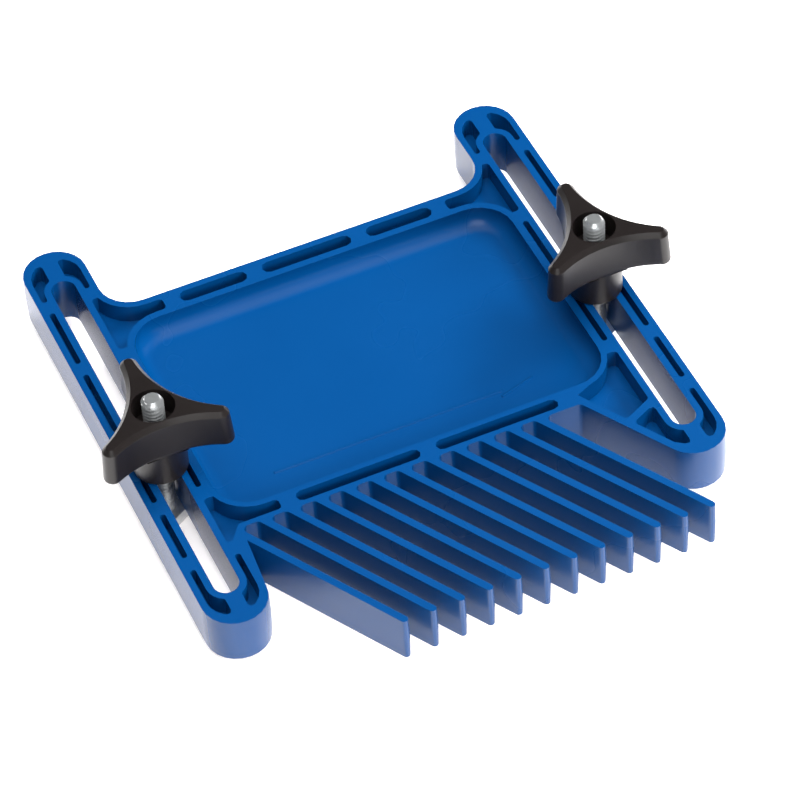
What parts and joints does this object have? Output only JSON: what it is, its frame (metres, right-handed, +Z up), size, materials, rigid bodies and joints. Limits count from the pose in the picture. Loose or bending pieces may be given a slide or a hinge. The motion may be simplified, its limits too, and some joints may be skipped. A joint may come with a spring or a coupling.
{
  "type": "flexible-finger featherboard",
  "caption": "Featherboard: slotted one-piece moulding with slanted flexible fingers, clamped by a bolt and a three-lobed knob in each slot.",
  "frame": {"origin": "middle of the front border on the underside of the moulding", "axes": "+Z up through the moulding, +Y from the fingers towards the back of the rails, +X the way the fingers lean"},
  "size_m": [0.1772, 0.1773, 0.0484],
  "materials": {
    "blue_plastic": "glossy injection-moulded blue plastic",
    "black_plastic": "satin black moulded plastic with a fine grain",
    "zinc_steel": "bright zinc-plated steel",
    "brass": "turned brass"
  },
  "bodies": {
    "board": {"board": "blue_plastic"},
    "finger_01": {"finger_01": "blue_plastic"},
    "finger_02": {"finger_02": "blue_plastic"},
    "finger_03": {"finger_03": "blue_plastic"},
    "finger_04": {"finger_04": "blue_plastic"},
    "finger_05": {"finger_05": "blue_plastic"},
    "finger_06": {"finger_06": "blue_plastic"},
    "finger_07": {"finger_07": "blue_plastic"},
    "finger_08": {"finger_08": "blue_plastic"},
    "finger_09": {"finger_09": "blue_plastic"},
    "finger_10": {"finger_10": "blue_plastic"},
    "finger_11": {"finger_11": "blue_plastic"},
    "finger_12": {"finger_12": "blue_plastic"},
    "bolt_left": {"bolt_left": "zinc_steel"},
    "insert_left": {"insert_left": "brass"},
    "knob_left": {"knob_left": "black_plastic"},
    "bolt_right": {"bolt_right": "zinc_steel"},
    "insert_right": {"insert_right": "brass"},
    "knob_right": {"knob_right": "black_plastic"}
  },
  "joints": [
    {"name": "finger_01_flex", "type": "hinge", "parent": "board", "child": "finger_01", "pos_m": [-0.05735, -0.00865, 0.0075], "axis": [0, 0, 1], "range_deg": [-3, 5], "stiffness_Nm_per_rad": 1.5},
    {"name": "finger_02_flex", "type": "hinge", "parent": "board", "child": "finger_02", "pos_m": [-0.04888, -0.00865, 0.0075], "axis": [0, 0, 1], "range_deg": [-3, 5], "stiffness_Nm_per_rad": 1.5},
    {"name": "finger_03_flex", "type": "hinge", "parent": "board", "child": "finger_03", "pos_m": [-0.04042, -0.00865, 0.0075], "axis": [0, 0, 1], "range_deg": [-3, 5], "stiffness_Nm_per_rad": 1.5},
    {"name": "finger_04_flex", "type": "hinge", "parent": "board", "child": "finger_04", "pos_m": [-0.03195, -0.00865, 0.0075], "axis": [0, 0, 1], "range_deg": [-3, 5], "stiffness_Nm_per_rad": 1.5},
    {"name": "finger_05_flex", "type": "hinge", "parent": "board", "child": "finger_05", "pos_m": [-0.02348, -0.00865, 0.0075], "axis": [0, 0, 1], "range_deg": [-3, 5], "stiffness_Nm_per_rad": 1.5},
    {"name": "finger_06_flex", "type": "hinge", "parent": "board", "child": "finger_06", "pos_m": [-0.01502, -0.00865, 0.0075], "axis": [0, 0, 1], "range_deg": [-3, 5], "stiffness_Nm_per_rad": 1.5},
    {"name": "finger_07_flex", "type": "hinge", "parent": "board", "child": "finger_07", "pos_m": [-0.00655, -0.00865, 0.0075], "axis": [0, 0, 1], "range_deg": [-3, 5], "stiffness_Nm_per_rad": 1.5},
    {"name": "finger_08_flex", "type": "hinge", "parent": "board", "child": "finger_08", "pos_m": [0.00192, -0.00865, 0.0075], "axis": [0, 0, 1], "range_deg": [-3, 5], "stiffness_Nm_per_rad": 1.5},
    {"name": "finger_09_flex", "type": "hinge", "parent": "board", "child": "finger_09", "pos_m": [0.01038, -0.00865, 0.0075], "axis": [0, 0, 1], "range_deg": [-3, 5], "stiffness_Nm_per_rad": 1.5},
    {"name": "finger_10_flex", "type": "hinge", "parent": "board", "child": "finger_10", "pos_m": [0.01885, -0.00865, 0.0075], "axis": [0, 0, 1], "range_deg": [-3, 5], "stiffness_Nm_per_rad": 1.5},
    {"name": "finger_11_flex", "type": "hinge", "parent": "board", "child": "finger_11", "pos_m": [0.02732, -0.00865, 0.0075], "axis": [0, 0, 1], "range_deg": [-3, 5], "stiffness_Nm_per_rad": 1.5},
    {"name": "finger_12_flex", "type": "hinge", "parent": "board", "child": "finger_12", "pos_m": [0.03578, -0.00865, 0.0075], "axis": [0, 0, 1], "range_deg": [-3, 5], "stiffness_Nm_per_rad": 1.5},
    {"name": "clamp_left_slide", "type": "slide", "parent": "board", "child": "bolt_left", "axis": [0, 1, 0], "range_m": [-0.0482, 0.0776]},
    {"name": "knob_left_travel", "type": "slide", "parent": "bolt_left", "child": "insert_left", "axis": [0, 0, 1], "range_m": [-0.0001, 0.012]},
    {"name": "knob_left_turn", "type": "hinge", "parent": "insert_left", "child": "knob_left", "pos_m": [-0.06985, 0.028, 0.0394], "axis": [0, 0, 1], "range_deg": [-28, 3400]},
    {"name": "clamp_right_slide", "type": "slide", "parent": "board", "child": "bolt_right", "axis": [0, 1, 0], "range_m": [-0.0566, 0.0692]},
    {"name": "knob_right_travel", "type": "slide", "parent": "bolt_right", "child": "insert_right", "axis": [0, 0, 1], "range_m": [-0.0001, 0.012]},
    {"name": "knob_right_turn", "type": "hinge", "parent": "insert_right", "child": "knob_right", "pos_m": [0.06985, 0.0364, 0.0394], "axis": [0, 0, 1], "range_deg": [-28, 3400]}
  ],
  "couplings": [
    {"joint": "knob_left_travel", "follows": "knob_left_turn", "m_per_rad": 0.00020213},
    {"joint": "knob_right_travel", "follows": "knob_right_turn", "m_per_rad": 0.00020213}
  ]
}
